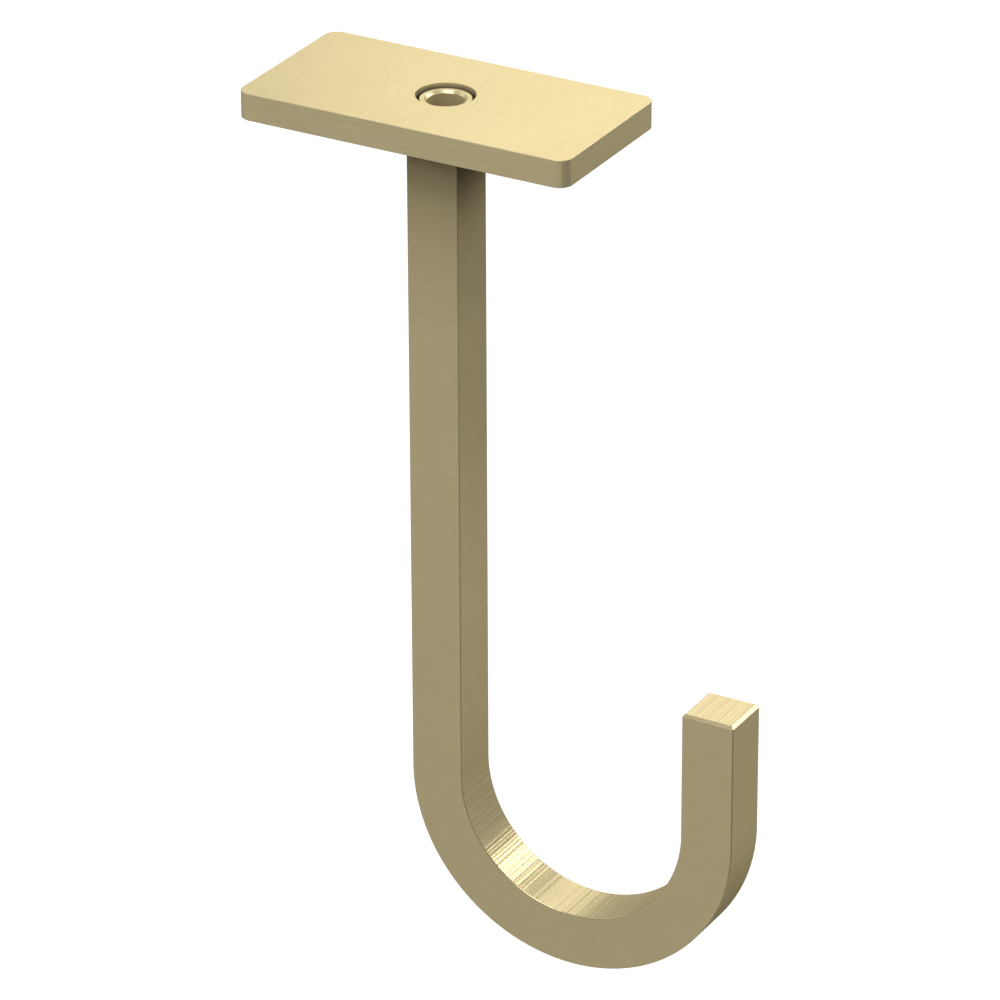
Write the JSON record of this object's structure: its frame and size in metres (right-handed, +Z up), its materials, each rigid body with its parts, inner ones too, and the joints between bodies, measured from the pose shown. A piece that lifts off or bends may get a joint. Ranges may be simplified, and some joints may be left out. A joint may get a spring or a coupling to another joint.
{
  "type": "ceiling hook",
  "caption": "Brushed brass ceiling hook: a square bar bent into a J hangs from a flat rectangular plate and screws onto a threaded ceiling stud.",
  "frame": {"origin": "centre of the mounting plate's top face, in the plane of the ceiling and on the stud's axis", "axes": "+Z up into the ceiling along the stud; +X along the plate's long side, from the shank towards the hook's tip; +Y across the plate's short side"},
  "size_m": [0.091, 0.032, 0.16],
  "materials": {
    "plate_brass": "satin, brushed across the short side",
    "bar_brass": "satin, brushed across the bar"
  },
  "bodies": {
    "root": {"mounting_plate": "plate_brass", "hook_bar": "bar_brass"}
  },
  "joints": []
}
